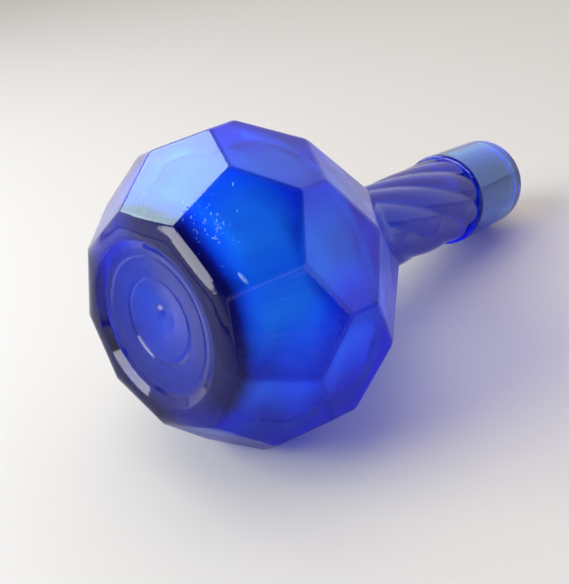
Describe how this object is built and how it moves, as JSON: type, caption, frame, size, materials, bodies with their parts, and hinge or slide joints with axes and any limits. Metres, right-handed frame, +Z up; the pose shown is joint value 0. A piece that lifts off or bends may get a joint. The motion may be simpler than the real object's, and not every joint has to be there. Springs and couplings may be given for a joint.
{
  "type": "poison bottle",
  "caption": "Round glass bottle with flat facets, a pushed-up base, a twisted ribbed neck, a smooth band round the mouth and a tapered cork.",
  "frame": {"origin": "on the bottle's axis, in the plane of the ring that it stands on", "axes": "+Z up the axis to the mouth; +X through a corner of the nine-sided base"},
  "size_m": [0.0961, 0.0966, 0.198],
  "materials": {
    "blue_glass": "clear cobalt blue, moulded facets with small seeds",
    "band_glass": "clear cobalt blue, smooth",
    "cork": "natural cork, matt"
  },
  "bodies": {
    "bottle": {"glass_bottle": "blue_glass", "lip_band": "band_glass"},
    "stopper": {"cork_stopper": "cork"}
  },
  "joints": [
    {"name": "stopper_pull", "type": "slide", "parent": "bottle", "child": "stopper", "axis": [0, 0, 1], "range_m": [0, 0.06]}
  ]
}
